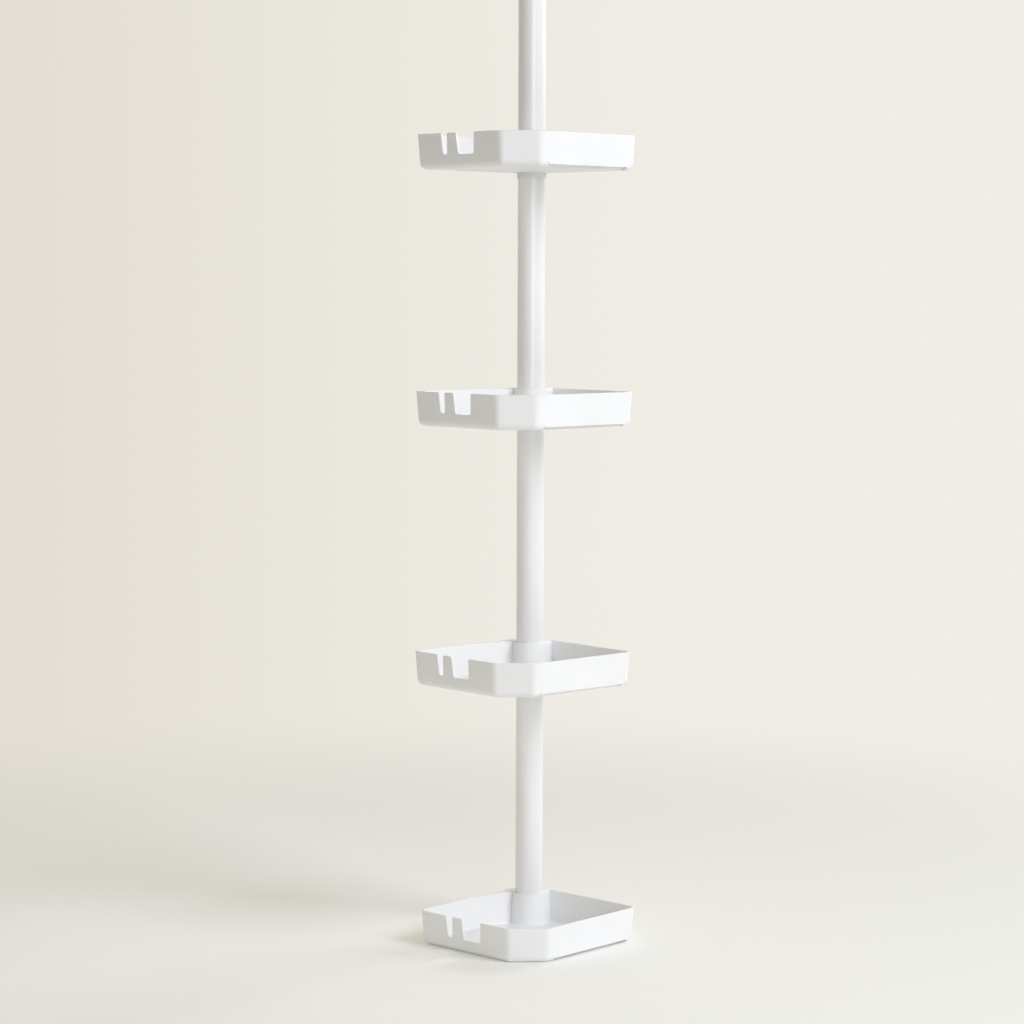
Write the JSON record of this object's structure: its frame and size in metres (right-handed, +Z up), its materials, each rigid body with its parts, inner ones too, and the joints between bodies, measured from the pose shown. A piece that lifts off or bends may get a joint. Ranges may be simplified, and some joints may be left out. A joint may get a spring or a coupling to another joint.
{
  "type": "tension pole shelf unit",
  "caption": "Floor-to-ceiling tension pole carrying open notched corner trays that swivel round it, with a twist-locked telescoping tube and a sprung ceiling cup on top.",
  "frame": {"origin": "on the pole's axis at the floor, in the middle of the foot pad's underside", "axes": "+Z up along the pole; the base tray's walls lie along X and Y, its notched wall faces -Y, its chamfered corner points to +X -Y"},
  "size_m": [0.1866, 0.1971, 1.877],
  "materials": {
    "tray_plastic": "satin white moulding",
    "pole_paint": "satin white powder coat on steel tube",
    "ring_paint": "satin white coat on steel ring",
    "lock_plastic": "fine satin white moulding",
    "cup_plastic": "satin white moulding",
    "coupler_plastic": "plain grey moulding",
    "grip_rubber": "soft pale grey rubber",
    "spring_steel": "drawn steel wire"
  },
  "bodies": {
    "pole": {"pole_section_bottom": "pole_paint", "pole_section_lower": "pole_paint", "pole_section_middle": "pole_paint", "pole_section_top": "pole_paint", "coupler_lower": "coupler_plastic", "coupler_middle": "coupler_plastic", "coupler_upper": "coupler_plastic", "support_ring_lower": "ring_paint", "support_ring_middle": "ring_paint", "support_ring_upper": "ring_paint", "foot_plug": "coupler_plastic", "foot_pad": "grip_rubber", "lock_collet": "lock_plastic"},
    "base_tray": {"tray_base": "tray_plastic"},
    "lower_tray": {"tray_lower": "tray_plastic"},
    "middle_tray": {"tray_middle": "tray_plastic"},
    "upper_tray": {"tray_upper": "tray_plastic"},
    "lock": {"lock_sleeve": "lock_plastic"},
    "extension": {"upper_tube": "pole_paint", "tube_guide": "coupler_plastic", "spring_seat": "coupler_plastic", "tension_spring": "spring_steel", "end_bush": "lock_plastic"},
    "ceiling_plunger": {"plunger": "pole_paint", "ceiling_cup": "cup_plastic", "ceiling_pad": "grip_rubber"}
  },
  "joints": [
    {"name": "base_tray_swivel", "type": "hinge", "parent": "pole", "child": "base_tray", "pos_m": [0, 0, 0], "axis": [0, 0, 1], "continuous": true},
    {"name": "lower_tray_swivel", "type": "hinge", "parent": "pole", "child": "lower_tray", "pos_m": [0, 0, 0.299], "axis": [0, 0, 1], "continuous": true},
    {"name": "middle_tray_swivel", "type": "hinge", "parent": "pole", "child": "middle_tray", "pos_m": [0, 0, 0.597], "axis": [0, 0, 1], "continuous": true},
    {"name": "upper_tray_swivel", "type": "hinge", "parent": "pole", "child": "upper_tray", "pos_m": [0, 0, 0.887], "axis": [0, 0, 1], "continuous": true},
    {"name": "lock_turn", "type": "hinge", "parent": "pole", "child": "lock", "pos_m": [0, 0, 1.477], "axis": [0, 0, 1], "range_deg": [0, 90]},
    {"name": "height_slide", "type": "slide", "parent": "pole", "child": "extension", "axis": [0, 0, 1], "range_m": [-0.195, 0.25]},
    {"name": "plunger_slide", "type": "slide", "parent": "extension", "child": "ceiling_plunger", "axis": [0, 0, 1], "range_m": [-0.035, 0], "stiffness_N_per_m": 1500, "springref_m": 0.03, "deforming": ["tension_spring"]}
  ]
}
